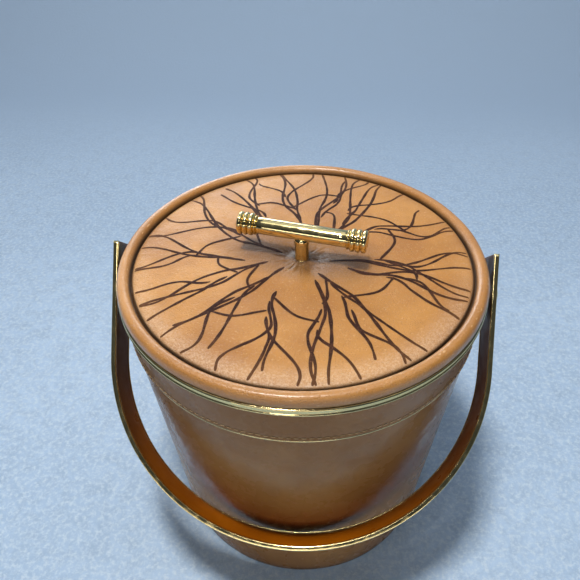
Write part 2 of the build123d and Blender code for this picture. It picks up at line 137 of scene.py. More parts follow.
class Nodes:
    """Small helper that adds nodes to a tree and links them."""

    def __init__(self, tree, coordinates):
        self.tree = tree
        self.place = self.add("ShaderNodeTexCoord").outputs[coordinates]

    def add(self, kind, **settings):
        node = self.tree.nodes.new(kind)
        for key, value in settings.items():
            setattr(node, key, value)
        return node

    def put(self, socket, value):
        if isinstance(value, bpy.types.NodeSocket):
            self.tree.links.new(value, socket)
        else:
            socket.default_value = value

    def stretch(self, scale, turn=(0, 0, 0)):
        node = self.add("ShaderNodeMapping")
        self.put(node.inputs["Vector"], self.place)
        node.inputs["Scale"].default_value = scale
        node.inputs["Rotation"].default_value = turn
        return node.outputs[0]

    def noise(self, scale, detail=2.0, rough=0.5, distortion=0.0, place=None):
        node = self.add("ShaderNodeTexNoise")
        self.put(node.inputs["Vector"], place or self.place)
        node.inputs["Scale"].default_value = scale
        node.inputs["Detail"].default_value = detail
        node.inputs["Roughness"].default_value = rough
        node.inputs["Distortion"].default_value = distortion
        return node.outputs["Fac"]

    def cells(self, scale):
        node = self.add("ShaderNodeTexVoronoi", feature="F1")
        self.put(node.inputs["Vector"], self.place)
        node.inputs["Scale"].default_value = scale
        return node.outputs["Distance"]

    def ramp(self, value, low, high, start=0.0, end=1.0, kind="SMOOTHSTEP"):
        node = self.add("ShaderNodeMapRange", interpolation_type=kind)
        self.put(node.inputs["Value"], value)
        node.inputs["From Min"].default_value = low
        node.inputs["From Max"].default_value = high
        node.inputs["To Min"].default_value = start
        node.inputs["To Max"].default_value = end
        return node.outputs[0]

    def mix(self, share, first, second):
        node = self.add("ShaderNodeMix", data_type="RGBA")
        self.put(node.inputs[0], share)
        self.put(node.inputs[6], first)
        self.put(node.inputs[7], second)
        return node.outputs[2]

    def math(self, kind, first, second):
        node = self.add("ShaderNodeMath", operation=kind)
        self.put(node.inputs[0], first)
        self.put(node.inputs[1], second)
        return node.outputs[0]

    def edge(self):
        """How sharply the surface turns outwards, 0.5 where it is flat."""
        return self.add("ShaderNodeNewGeometry").outputs["Pointiness"]

    def open_share(self, reach_mm):
        """How open the surface is within the reach, falling towards 0 in a tight corner."""
        node = self.add("ShaderNodeAmbientOcclusion", samples=6)
        node.inputs["Distance"].default_value = reach_mm * MM
        return node.outputs["AO"]

    def axis(self, letter):
        """The shaded point's X, Y or Z in metres."""
        node = self.add("ShaderNodeSeparateXYZ")
        self.put(node.inputs[0], self.place)
        return node.outputs[letter]

    def distance(self, weights=(1, 1, 1)):
        """Distance from the origin in metres; an axis with weight 0 doesn't count."""
        weighted = self.add("ShaderNodeVectorMath", operation="MULTIPLY")
        self.put(weighted.inputs[0], self.place)
        weighted.inputs[1].default_value = weights
        length = self.add("ShaderNodeVectorMath", operation="LENGTH")
        self.put(length.inputs[0], weighted.outputs[0])
        return length.outputs["Value"]

    def axis_distance(self):
        return self.distance((1, 1, 0))

    def bump(self, height, depth_mm, strength=1.0, normal=None):
        node = self.add("ShaderNodeBump")
        self.put(node.inputs["Height"], height)
        node.inputs["Distance"].default_value = depth_mm * MM
        node.inputs["Strength"].default_value = strength
        if normal is not None:
            self.put(node.inputs["Normal"], normal)
        return node.outputs[0]


class Shader(Nodes):
    """The nodes of one material, all leading to one principled shader."""

    def __init__(self, name):
        self.material = bpy.data.materials.new(name)
        self.material.use_nodes = True
        self.material.node_tree.nodes.clear()
        super().__init__(self.material.node_tree, "Object")
        self.main = self.add("ShaderNodeBsdfPrincipled")
        surface = self.add("ShaderNodeOutputMaterial")
        self.put(surface.inputs[0], self.main.outputs[0])

    def set(self, **values):
        for key, value in values.items():
            self.put(self.main.inputs[key.replace("_", " ")], value)


def colour(red, green, blue, scale=1.0):
    return (red * scale, green * scale, blue * scale, 1.0)


def leather(name, light, deep, worn, roughness, grain_depth, coat=0.0, shine=0.5,
            gloss=(1.0, 1.0, 1.0), layers=()):
    """Pebbled leatherette: patches of tone, pores, fine scratches, worn edges, and painted shade in its creases.

    Each layer is a function of (shader, tone) that returns the tone with its marks laid over.
    """
    s = Shader(name)
    patches = s.ramp(s.noise(14, 4, 0.6), 0.35, 0.68)
    tone = s.mix(patches, colour(*deep), colour(*light))
    mottle = s.ramp(s.noise(170, 3, 0.6), 0.4, 0.75, 0.0, 0.35)
    tone = s.mix(mottle, tone, colour(*light, 0.78))
    pores = s.cells(880)
    pebble = s.noise(700, 3, 0.7)
    marked = 0.30 if grain_depth > 0.05 else 0.08
    tone = s.mix(s.ramp(pores, 0.0, 0.35, marked, 0.0), tone, colour(*deep, 0.45))
    tone = s.mix(s.ramp(pebble, 0.55, 0.75, 0.0, marked * 1.3), tone, colour(*worn))
    scuffs = s.noise(1, 5, 0.7, 0.4, s.stretch((60, 520, 60), (0, 0, 0.7)))
    scuff_share = s.ramp(scuffs, 0.64, 0.76, 0.0, 0.30)
    tone = s.mix(scuff_share, tone, colour(*worn))
    tone = s.mix(s.ramp(s.edge(), 0.51, 0.58, 0.0, 0.5), tone, colour(*worn))
    for layer in layers:
        tone = layer(s, tone)
    # Painted shade: the colour darkens wherever the surface is closed in within 8 mm, in creases, corners and
    # under parts.
    painted_crease_shade = s.ramp(s.open_share(8), 0.38, 0.95, 0.88, 0.0)
    tone = s.mix(painted_crease_shade, tone, colour(0.035, 0.014, 0.004))
    rough = s.math("ADD", roughness, s.ramp(s.noise(90, 3), 0.3, 0.7, -0.07, 0.08))
    rough = s.math("ADD", rough, s.math("MULTIPLY", scuff_share, 0.35))
    grain = s.math("ADD", s.ramp(pores, 0.0, 0.5), s.math("MULTIPLY", pebble, 0.8))
    fine = s.bump(grain, grain_depth)
    s.set(Base_Color=tone, Roughness=rough, Specular_IOR_Level=shine, Specular_Tint=colour(*gloss))
    s.set(Normal=s.bump(s.noise(230, 3), grain_depth * 2.2, 0.6, fine))
    s.set(Coat_Weight=coat, Coat_Roughness=0.22, Sheen_Weight=0.12 * shine, Sheen_Roughness=0.4)
    return s.material


def painted_sheen(s, tone):
    """Painted highlights: pale streaks on the pleats round the post, and a painted sheen along the front edge of
    the panel.
    """
    radius = s.axis_distance()
    near = s.math("MULTIPLY", s.ramp(radius, 0.0050, 0.0062), s.ramp(radius, 0.0070, 0.0115, 1.0, 0.0))
    streaks = s.ramp(s.noise(620, 3, 0.6, 1.2), 0.50, 0.64, 0.0, 0.5)
    # Painted sheen along the rim of the panel, strongest at its front.
    rim = s.ramp(radius, 0.088, 0.102, 0.0, 0.42)
    fine = s.ramp(s.noise(900, 2, 0.6, 0.8), 0.40, 0.66, 0.35, 1.0)
    rim = s.math("MULTIPLY", rim, s.ramp(s.axis("Y"), -0.085, 0.02, 1.0, 0.15))
    marks = s.math("ADD", s.math("MULTIPLY", near, streaks), s.math("MULTIPLY", rim, fine))
    return s.mix(marks, tone, colour(0.86, 0.66, 0.48))


def knob_shade(s, tone):
    """Painted shadow: a dark patch under the knob, where the knob closes the panel in, left out along the rim of
    the panel.
    """
    covered = s.ramp(s.open_share(26), 0.68, 0.97, 0.92, 0.0)
    inside = s.ramp(s.axis_distance(), 0.080, 0.096, 1.0, 0.0)
    return s.mix(s.math("MULTIPLY", covered, inside), tone, colour(0.05, 0.02, 0.006))


def painted_groove_shade(s, tone):
    """Painted shade down the inner side of the roll, where it meets the panel."""
    groove_shade = s.ramp(s.axis_distance(), 0.1062, 0.1076, 0.50, 0.0)
    return s.mix(groove_shade, tone, colour(0.065, 0.026, 0.008))


def upper_shade(s, tone):
    """Painted shade: the strap's lining darkens towards the pivots."""
    shade = s.ramp(s.axis("Z"), 0.058, 0.150, 0.0, 0.85)
    return s.mix(shade, tone, colour(0.055, 0.014, 0.001))


def metal(name, tint, dark, roughness, brushed=0.0):
    """Polished plate with faint polishing lines, dulling in the hollows."""
    s = Shader(name)
    dull = s.ramp(s.noise(60, 4, 0.65), 0.45, 0.8, 0.0, 0.35)
    tone = s.mix(dull, colour(*tint), colour(*dark))
    tone = s.mix(s.ramp(s.edge(), 0.40, 0.49, 0.75, 0.0), tone, colour(*dark, 0.5))
    lines = s.noise(1, 3, 0.6, 0.0, s.stretch((3500, 3500, 350)))
    rough = s.math("ADD", roughness, s.ramp(s.noise(240, 4), 0.35, 0.75, -0.03, 0.10))
    s.set(Base_Color=tone, Metallic=1.0, Roughness=rough)
    s.set(Normal=s.bump(lines, 0.004 + brushed, 0.5))
    return s.material


def plastic(name, tint, shade, roughness, depth, speck=300):
    """Moulded plastic or foam: slight mottling and an uneven skin."""
    s = Shader(name)
    tone = s.mix(s.ramp(s.noise(40, 4), 0.35, 0.7), colour(*shade), colour(*tint))
    tone = s.mix(s.ramp(s.cells(speck), 0.0, 0.3, 0.12, 0.0), tone, colour(*shade, 0.7))
    rough = s.math("ADD", roughness, s.ramp(s.noise(120, 3), 0.3, 0.7, -0.05, 0.07))
    s.set(Base_Color=tone, Roughness=rough, Normal=s.bump(s.noise(speck * 2, 3), depth))
    return s.material


def fibre(name, tint, shade, depth, stretch):
    """Board, felt or thread: short directional fibres."""
    s = Shader(name)
    strands = s.noise(1, 4, 0.7, 0.3, s.stretch(stretch))
    tone = s.mix(s.ramp(strands, 0.3, 0.7), colour(*shade), colour(*tint))
    s.set(Base_Color=tone, Roughness=0.8, Normal=s.bump(strands, depth), Sheen_Weight=0.2)
    return s.material


def ink(name):
    """Dark brown drawn line, unevenly soaked in and paler towards the rim."""
    s = Shader(name)
    soak = s.ramp(s.noise(150, 4, 0.7), 0.42, 0.78)
    tone = s.mix(soak, colour(0.030, 0.011, 0.008), colour(0.090, 0.034, 0.018))
    grain = s.ramp(s.cells(1150), 0.0, 0.5)
    fading = s.ramp(s.distance(), 0.232, 0.244, 0.0, 0.75)
    tone = s.mix(fading, tone, colour(0.17, 0.072, 0.026))
    gaps = s.ramp(s.noise(1300, 2), 0.56, 0.72, 0.0, 0.45)
    tone = s.mix(gaps, tone, colour(0.22, 0.10, 0.05))
    s.set(Base_Color=tone, Roughness=0.6, Specular_IOR_Level=0.1, Normal=s.bump(grain, 0.05))
    return s.material


WORN_TAN = (0.80, 0.54, 0.28)
TAN = leather("leatherette_tan", light=(0.56, 0.262, 0.078), deep=(0.43, 0.186, 0.047),
              worn=WORN_TAN, roughness=0.40, grain_depth=0.20, coat=0.08)
PANEL = leather("leatherette_panel", light=(0.560, 0.262, 0.064), deep=(0.39, 0.162, 0.036),
                worn=WORN_TAN, roughness=0.42, grain_depth=0.22, shine=0.40,
                layers=(painted_sheen, knob_shade))
ROLL = leather("leatherette_roll", light=(0.56, 0.262, 0.070), deep=(0.43, 0.186, 0.044),
               worn=WORN_TAN, roughness=0.38, grain_depth=0.20, coat=0.45, shine=0.55,
               layers=(painted_groove_shade,))
# The tan leatherette with painted shade: its colours are darkened to stand in for the shade on the drum, collar,
# saddles and handle cover.
SHADED_TAN = leather("leatherette_dark", light=(0.37, 0.172, 0.048), deep=(0.27, 0.112, 0.026),
               worn=(0.42, 0.23, 0.09), roughness=0.27, grain_depth=0.012, shine=0.30,
               gloss=(1.0, 0.74, 0.48))
LINING = leather("leatherette_lining", light=(0.51, 0.145, 0.002), deep=(0.32, 0.082, 0.001),
                 worn=(0.50, 0.18, 0.01), roughness=0.34, grain_depth=0.008, shine=0.08,
                 gloss=(1.0, 0.55, 0.25), layers=(upper_shade,))
BRASS = metal("brass", (0.90, 0.73, 0.36), (0.64, 0.46, 0.17), 0.13)
STEEL = metal("steel", (0.62, 0.62, 0.60), (0.40, 0.39, 0.37), 0.32, 0.01)
WHITE = plastic("white_plastic", (0.83, 0.82, 0.78), (0.76, 0.74, 0.68), 0.26, 0.015)
FOAM = plastic("foam", (0.80, 0.76, 0.62), (0.68, 0.62, 0.46), 0.85, 0.25, 700)
BOARD = fibre("board", (0.40, 0.29, 0.18), (0.26, 0.18, 0.10), 0.08, (300, 1500, 300))
FELT = fibre("felt", (0.10, 0.075, 0.055), (0.045, 0.033, 0.026), 0.20, (1200, 1200, 400))
THREAD = fibre("thread", (0.86, 0.62, 0.34), (0.62, 0.40, 0.18), 0.05, (2500, 2500, 2500))
INK = ink("branch_ink")

SLOT_LOOKS = {
    "leatherette_tan": TAN,
    "leatherette_dark": SHADED_TAN,
    "thread": THREAD,
    "brass": BRASS,
    "white_plastic": WHITE,
    "foam": FOAM,
    "board": BOARD,
    "felt": FELT,
    "steel": STEEL,
}
for entry in frame["record"]["subparts"]:
    cad = frame["nodes"][entry["node"]]
    cad.data.materials.clear()
    cad.data.materials.append(SLOT_LOOKS[entry["material_slot"]])


# Mesh helpers

def piece(name, points, faces, look, body, slot, *nodes):
    """Makes a smooth piece from millimetre points and puts it on its CAD body."""
    mesh = bpy.data.meshes.new(name)
    mesh.from_pydata([Vector(p) * MM for p in points], [], faces)
    work = bmesh.new()
    work.from_mesh(mesh)
    bmesh.ops.remove_doubles(work, verts=work.verts, dist=1e-7)
    bmesh.ops.recalc_face_normals(work, faces=work.faces)
    work.to_mesh(mesh)
    work.free()
    mesh.shade_smooth()
    mesh.materials.append(look)
    made = bpy.data.objects.new(name, mesh)
    scene.collection.objects.link(made)
    attach(made, body, slot, *nodes)
    return made


def attach(made, body, slot, *nodes):
    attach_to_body(made, body)
    if nodes:
        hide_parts(*nodes)


def brass(name, points, faces, body, node):
    return piece(name, points, faces, BRASS, body, "brass", node)


def grid_faces(rows, columns, close_rows=False, close_columns=False, start=0):
    """Quads over a grid of points stored row by row."""
    faces = []
    for i in range(rows if close_rows else rows - 1):
        for j in range(columns if close_columns else columns - 1):
            a = start + i * columns + j
            b = start + i * columns + (j + 1) % columns
            c = start + (i + 1) % rows * columns + (j + 1) % columns
            d = start + (i + 1) % rows * columns + j
            faces.append((a, b, c, d))
    return faces


def end_faces(rows, columns, start=0):
    """The two faces that close a tube stored row by row."""
    first = tuple(start + j for j in range(columns))
    last = tuple(start + (rows - 1) * columns + j for j in reversed(range(columns)))
    return [first, last]


def rounded(corners, radius, steps=5, spacing=None):
    """Closed outline with every corner rounded; a corner may carry its own radius."""
    outline = []
    count = len(corners)
    for i in range(count):
        here = Vector(corners[i][:2])
        before = Vector(corners[i - 1][:2]) - here
        after = Vector(corners[(i + 1) % count][:2]) - here
        size = corners[i][2] if len(corners[i]) > 2 else radius
        size = min(size, before.length * 0.45, after.length * 0.45)
        first = before.normalized() * size
        last = after.normalized() * size
        for k in range(steps + 1):
            t = k / steps
            outline.append(here + first * (1 - t) ** 2 + last * t ** 2)
    if not spacing:
        return outline
    fine = []
    for i, point in enumerate(outline):
        onward = outline[(i + 1) % len(outline)]
        cuts = max(1, ceil((onward - point).length / spacing))
        fine += [point.lerp(onward, k / cuts) for k in range(cuts)]
    return fine


def arc(centre, size, first, last, steps):
    """Points round a centre between two angles in degrees; size is (across, up)."""
    points = []
    for k in range(steps + 1):
        a = radians(first + (last - first) * k / steps)
        points.append((centre[0] + size[0] * cos(a), centre[1] + size[1] * sin(a)))
    return points


def turned(outline, steps=TURN_STEPS, shift=None, closed=True):
    """Points and faces of a (radius, height) outline turned round Z."""
    points = []
    for radius, height in outline:
        for j in range(steps):
            angle = 2 * pi * j / steps
            out, up = shift(radius, height, angle) if shift else (0.0, 0.0)
            points.append(((radius + out) * cos(angle), (radius + out) * sin(angle), height + up))
    return points, grid_faces(len(outline), steps, closed, True)


def solid_turned(outline, steps=96):
    """The same for an open outline that starts and ends on the axis."""
    return turned(outline, steps, closed=False)


def moved(points, matrix):
    return [matrix @ Vector(p) for p in points]


def wobble(x, y, z, scale):
    return noise.noise(Vector((x, y, z)) * scale)


def hand_name(side):
    return "right" if side > 0 else "left"


# Drum

def seam(radius, angle):
    """Depth of the butt seam down the back of the covering, with a low ridge beside it."""
    away = abs((angle - SEAM_ANGLE + pi) % (2 * pi) - pi) * radius
    groove, ridge = -0.5, 0.16
    return groove * bell(away, 0.0, 0.8) + ridge * bell(away, 2.2, 1.2)


def cover_drum():
    low, high = WRAP_LOW.z, WRAP_HIGH.z
    outline = rounded([
        (wrap_radius(low) - WRAP_THICKNESS, low, 0.2),
        (wrap_radius(low), low, 1.1),
        (wrap_radius(high), high, 0.3),
        (wrap_radius(high) - WRAP_THICKNESS, high, 0.2),
    ], 0.2, steps=4, spacing=4.0)

    def shift(radius, height, angle):
        if radius < wrap_radius(height) - WRAP_THICKNESS * 0.75:
            return 0.0, 0.0
        x, y = radius * cos(angle), radius * sin(angle)
        slow, fine = wobble(x, y, height, 0.018), wobble(x, y, height, 0.09)
        return 0.10 * slow + 0.012 * fine + seam(radius, angle), 0.0

    points, faces = turned(outline, shift=shift)
    piece("drum_covering", points, faces, SHADED_TAN, "bucket", "leatherette_dark", "body_wrap")


def cover_band():
    """Collar band, turned in at its lower edge and drawn down along the stitching."""
    low, high = BAND_LOW.z, BAND_HIGH.z
    gap = 0.02
    outline = rounded([
        (wrap_radius(low) + gap, low, 0.2),
        (wrap_radius(low) + BAND_THICKNESS, low, 0.7),
        (wrap_radius(high) + BAND_THICKNESS, high, 0.3),
        (wrap_radius(high) + gap, high, 0.1),
    ], 0.2, steps=5, spacing=0.9)

    def shift(radius, height, angle):
        if radius < wrap_radius(height) + BAND_THICKNESS * 0.6:
            return 0.0, 0.0
        x, y = radius * cos(angle), radius * sin(angle)
        pull = -0.28 * bell(height, STITCH_HEIGHT, 0.7)
        fold = 0.14 * bell(height, low + 1.0, 0.8)
        soft = 0.07 * wobble(x, y, height, 0.05)
        return pull + fold + soft + 0.8 * seam(radius, angle), 0.0

    points, faces = turned(outline, shift=shift)
    piece("collar_covering", points, faces, SHADED_TAN, "bucket", "leatherette_dark", "collar_band")


def sew_band():
    """Each stitch is a short twisted thread that dips into the band at both ends."""
    face = wrap_radius(STITCH_HEIGHT) + BAND_THICKNESS
    covered = asin(SADDLE_HALF_WIDTH / face)
    count, length, slant = 170, 3.1, 0.04
    dip, arch, thickness = 0.10, 0.22, 0.23
    ply, twist = 0.16, 7
    rings, around = 11, 9
    points, faces = [], []
    for index in range(count):
        angle = 2 * pi * (index + 0.5) / count
        if min(angle % pi, pi - angle % pi) < covered:
            continue
        out = Vector((cos(angle), sin(angle), 0))
        along = Vector((-sin(angle), cos(angle), slant)).normalized()
        across = out.cross(along)
        start = len(points)
        for i in range(rings):
            t = i / (rings - 1) * 2 - 1
            lift = -dip + arch * (1 - t ** 4)
            size = thickness * sqrt(max(0.02, 1 - t ** 6))
            centre = out * (face + lift) + along * (t * length / 2)
            centre.z += STITCH_HEIGHT
            for j in range(around):
                turn = 2 * pi * j / around
                swell = size * (1 + ply * cos(2 * turn - twist * t))
                points.append(centre + (out * cos(turn) + across * sin(turn)) * swell)
        faces += grid_faces(rings, around, False, True, start) + end_faces(rings, around, start)
    piece("collar_thread", points, faces, THREAD, "bucket", "thread", "collar_stitching")


def rim_ring():
    """Bright ring over the top of the wall: a bead outside, a lip inside, a rolled skirt."""
    bead_radius = 1.1
    centre = RING_HIGH.x - bead_radius
    middle = RING_HIGH.z - bead_radius
    seat = WRAP_HIGH.z + FIT_GAP
    skirt = RING_LOW.z
    face = wrap_radius(WRAP_HIGH.z) + BAND_THICKNESS + FIT_GAP
    lip = 107.0
    outline = arc((centre, middle), (bead_radius, bead_radius), -80, 184, 22) + [
        (centre - 1.0, middle - 0.7),
        (lip + 1.0, seat + 0.95), (lip + 0.2, seat + 0.85), (lip, seat + 0.45),
        (lip + 0.2, seat + 0.05), (lip + 1.0, seat),
        (face, seat), (face, skirt + 0.1),
        (face + 0.2, skirt - 0.02), (face + 0.55, skirt), (face + 0.85, skirt + 0.2),
        (face + 0.92, skirt + 0.5), (face + 0.85, skirt + 0.8), (face + 0.5, skirt + 1.05),
        (face + 0.22, skirt + 1.2), (face + 0.16, skirt + 1.5), (face + 0.16, middle - 1.5),
    ]
    points, faces = turned(outline, BRASS_STEPS)
    brass("rim_ring_brass", points, faces, "bucket", "rim_ring")


def collar_bead():
    """Thin half-round bead under the band, let into the covering at its back."""
    height = (BEAD_LOW.z + BEAD_HIGH.z) / 2
    size = (BEAD_HIGH.z - BEAD_LOW.z) / 2 - 0.25
    seat = wrap_radius(height)
    sunk = 0.2
    outline = arc((seat - sunk, height), (size + sunk, size), -90, 90, 12)
    outline += [(seat - 2 * sunk, height + size * 0.8), (seat - 2 * sunk, height - size * 0.8)]
    points, faces = turned(outline, BRASS_STEPS)
    brass("collar_bead_brass", points, faces, "bucket", "collar_trim")


def cover_saddle(side):
    """Leather-covered block behind the strap end, flat outside and hollow inside."""
    low, high = SADDLE_LOW.z, SADDLE_HIGH.z
    middle, half_height = (low + high) / 2, (high - low) / 2
    face = SADDLE_HIGH.x
    outline = rounded([
        (-SADDLE_HALF_WIDTH, -half_height), (SADDLE_HALF_WIDTH, -half_height),
        (SADDLE_HALF_WIDTH, half_height), (-SADDLE_HALF_WIDTH, half_height),
    ], 5.0, steps=8, spacing=1.5)
    edge = 0.75
    inset_depth = ((0.0, edge), (0.12, 0.38), (0.36, 0.12), (edge, 0.0))

    def ring(inset, depth):
        """The outline shrunk by the inset; no depth means on the band, else below the face."""
        points = []
        for y, z in outline:
            y *= 1 - inset / SADDLE_HALF_WIDTH
            z = z * (1 - inset / half_height) + middle
            hold = wrap_radius(z) + BAND_THICKNESS + FIT_GAP
            inner = sqrt(hold ** 2 - y ** 2)
            x = inner if depth is None else max(inner + 0.1, face - depth)
            points.append((x * side, y, z))
        return points

    rings = [ring(0.0, None)] + [ring(inset, depth) for inset, depth in inset_depth]
    front, crown = rings[-1], 0.12
    for share in (0.8, 0.55, 0.3):
        rings.append([(x + side * crown * (1 - share), y * share, middle + (z - middle) * share)
                      for x, y, z in front])
    count = len(outline)
    faces = grid_faces(len(rings), count, False, True) + end_faces(len(rings), count)
    points = [p for ring_points in rings for p in ring_points]
    name = hand_name(side)
    piece("saddle_cover_" + name, points, faces, SHADED_TAN, "bucket", "leatherette_dark", "saddle_" + name)


def stud_head(side):
    """Domed brass head with a turned rim, and its shank through the strap."""
    head = (
        (0, 0), (1.8, 0.05), (3.4, 0.22), (4.8, 0.55), (5.6, 0.95), (5.9, 1.25),
        (6.2, 1.3), (6.6, 1.25), (6.95, 1.5), (7.0, 1.9), (6.9, 2.3), (6.6, 2.6),
    )
    shank, underside = 2.5, 2.6
    outline = [(radius, STUD_HIGH.x - drop) for radius, drop in head]
    outline += [(shank, STUD_HIGH.x - underside), (shank, STUD_LOW.x), (0, STUD_LOW.x)]
    place = Matrix.Translation((0, 0, PIVOT_HEIGHT)) @ Matrix.Rotation(side * pi / 2, 4, "Y")
    points, faces = solid_turned(outline, 64)
    name = hand_name(side)
    brass("pivot_stud_brass_" + name, moved(points, place), faces, "bucket", "pivot_stud_" + name)


# Lid

def roll_shift(radius, height, angle):
    """Fine wrinkles and slow unevenness; towards the front the soft roll has also sunk a little."""
    if height < ROLL_LOW.z + 1.5:
        return 0.0, 0.0
    turn = atan2(height - ROLL_SPRING, radius - ROLL_CENTRE - ROLL_NARROW / 2)
    ring = Vector((cos(angle), sin(angle), 0)) * ROLL_CENTRE
    slow = noise.noise(ring * 0.035) * 0.22
    cross = noise.noise(ring * 0.42 + Vector((0, 0, turn * 0.7)))
    fine = noise.noise(ring + Vector((0, 0, 5 + turn * 0.9)))
    inner = 0.5 - 0.5 * cos(turn)
    gather = max(0.0, noise.noise(ring * 0.02 + Vector((7, 0, 0)))) + 0.35
    depth = slow + (0.12 * cross + 0.05 * fine) * gather * (0.5 + 0.9 * inner)
    front = 0.5 - 0.5 * sin(angle)
    above = max(0.0, height - ROLL_SPRING) / 6
    spread, sink = 0.7 * front * inner * above, 0.8 * front * above
    return depth * cos(turn) + spread, depth * sin(turn) - sink


def roll_rim():
    """Flat-topped padded rim; its cover turns in under the edge of the lid flange."""
    floor = ROLL_LOW.z
    flange_edge, flange_low = FLANGE_HIGH.x, RING_HIGH.z + 0.14
    steps, squareness = 60, 2 / 2.4
    inner = ROLL_CENTRE + ROLL_NARROW - ROLL_HALF_WIDTH
    centre, half_width = (ROLL_HIGH.x + inner) / 2, (ROLL_HIGH.x - inner) / 2
    half_height = ROLL_HIGH.z - 0.5 - ROLL_SPRING
    outline = []
    for k in range(steps + 1):
        a = pi * k / steps
        across = cos(a) and abs(cos(a)) ** squareness * (1 if cos(a) > 0 else -1)
        height = ROLL_SPRING + half_height * sin(a) ** squareness
        outline.append((centre + half_width * across, height))
    outline = [p for p in outline if p[1] > floor + 0.05]
    toe = inner - ROLL_NARROW + 0.1
    hook = flange_edge + 0.12
    outline += [
        (toe + 0.5, ROLL_SPRING + 0.2), (toe, ROLL_SPRING - 0.8), (toe, floor),
        (flange_edge - 3.0, floor), (hook, floor), (hook, flange_low + 0.1),
        (flange_edge + 0.4, flange_low), (ROLL_HIGH.x - 1.2, flange_low),
        (ROLL_HIGH.x - 0.7, flange_low + 0.25), (ROLL_HIGH.x - 0.4, flange_low + 0.8),
        (ROLL_HIGH.x - 0.15, flange_low + 1.9),
    ]
    points, faces = turned(outline, shift=roll_shift)
    piece("lid_rim_roll", points, faces, ROLL, "lid", "leatherette_tan",
          "lid_rim_cover", "lid_rim_core")


def panel_profile(travel):
    """(radius, height) on the panel at a distance along its section from the centre."""
    shoulder = PANEL_SHOULDER
    rim = PANEL_HIGH.x
    top = PANEL_HIGH.z - 0.2
    flat = rim - shoulder
    dish_start, dish_width, steepness = 4.5, 12.5, 1.7
    if travel <= flat:
        dish = POST_LOW.z - top
        share = exp(-(max(0.0, travel - dish_start) / dish_width) ** steepness)
        crown = -PANEL_FALL * (travel / flat) ** 4
        return travel, top + crown + dish * share
    arc_length = shoulder * pi / 2
    edge = top - PANEL_FALL
    if travel <= flat + arc_length:
        a = (travel - flat) / shoulder
        return flat + shoulder * sin(a), edge - shoulder * (1 - cos(a))
    return rim, edge - shoulder - (travel - flat - arc_length)


def disc_grid(cells):
    """Square grid mapped on to the unit disc: rows of (x, y) with rings kept circular."""
    points = []
    for i in range(cells + 1):
        for j in range(cells + 1):
            a, b = 2 * i / cells - 1, 2 * j / cells - 1
            if abs(a) < 1e-9 and abs(b) < 1e-9:
                points.append((0.0, 0.0))
            elif abs(a) >= abs(b):
                turn = pi / 4 * b / a
                points.append((a * cos(turn), a * sin(turn)))
            else:
                turn = pi / 2 - pi / 4 * a / b
                points.append((b * cos(turn), b * sin(turn)))
    return points


def inflate(points, faces, pinned, cap):
    """Blows the skin up with the cloth solver and returns the points, each held within cap mm."""
    mesh = bpy.data.meshes.new("blow")
    mesh.from_pydata([Vector(p) * MM for p in points], [], faces)
    blown = bpy.data.objects.new("blow", mesh)
    scene.collection.objects.link(blown)
    group = blown.vertex_groups.new(name="pin")
    group.add(pinned, 1.0, "ADD")
    cloth = blown.modifiers.new("cloth", "CLOTH")
    cloth.settings.quality = 6
    cloth.settings.mass = 0.25
    cloth.settings.vertex_group_mass = "pin"
    cloth.settings.tension_stiffness = 18
    cloth.settings.compression_stiffness = 14
    cloth.settings.bending_stiffness = 0.35
    cloth.settings.shrink_min = -0.012
    cloth.settings.use_pressure = True
    cloth.settings.uniform_pressure_force = 4.0
    cloth.settings.effector_weights.gravity = 0
    last_frame = 20
    cloth.point_cache.frame_start = 1
    cloth.point_cache.frame_end = last_frame
    for step in range(1, last_frame + 1):
        scene.frame_set(step)
    solved = blown.evaluated_get(bpy.context.evaluated_depsgraph_get()).to_mesh()
    result = []
    for before, vertex in zip(points, solved.vertices):
        move = vertex.co / MM - Vector(before)
        if move.length > cap:
            move *= cap / move.length
        result.append(Vector(before) + move)
    bpy.data.objects.remove(blown)
    scene.frame_set(1)
    return result


def panel_skin(cells):
    """Points of the panel before it is blown up, and which of them are held still."""
    tucked_in = 3.5
    length = PANEL_HIGH.x - PANEL_SHOULDER + PANEL_SHOULDER * pi / 2 + tucked_in
    held_rim, held_centre = 0.965, 6.5
    points, pinned = [], []
    for index, (u, v) in enumerate(disc_grid(cells)):
        share = hypot(u, v)
        radius, height = panel_profile(share * length)
        turn = atan2(v, u)
        x, y = radius * cos(turn), radius * sin(turn)
        lumps = 0.45 * wobble(x, y, 3, 0.028) + 0.16 * wobble(x, y, 9, 0.08)
        from_rim = max(0.0, 1 - (radius / (PANEL_HIGH.x - 3)) ** 8)
        from_post = min(1.0, max(0.0, (radius - 7) / 14))
        points.append(Vector((x, y, height + lumps * from_rim * from_post)))
        if share > held_rim or radius < held_centre:
            pinned.append(index)
    return points, pinned


def stuff_panel():
    """The padded panel: a full skin over foam, held at its rim and under the knob post."""
    cells = 96
    points, pinned = panel_skin(cells)
    faces = grid_faces(cells + 1, cells + 1)
    points = inflate(points, faces, pinned, cap=1.3)
    mesh = bpy.data.meshes.new("lid_panel")
    mesh.from_pydata([p * MM for p in points], [], faces)
    made = bpy.data.objects.new("lid_panel", mesh)
    scene.collection.objects.link(made)
    smooth = made.modifiers.new("smooth", "SUBSURF")
    smooth.levels = smooth.render_levels = 2
    solved = made.evaluated_get(bpy.context.evaluated_depsgraph_get())
    fine = bpy.data.meshes.new_from_object(solved)
    made.modifiers.clear()
    made.data = fine
    for vertex in fine.vertices:
        crease_panel(vertex)
    fine.update()
    thicken = made.modifiers.new("thicken", "SOLIDIFY")
    thicken.thickness = 0.9 * MM
    thicken.offset = -1
    fine.shade_smooth()
    fine.materials.append(PANEL)
    attach(made, "lid", "leatherette_tan", "lid_panel_cover", "lid_pad")
    return made


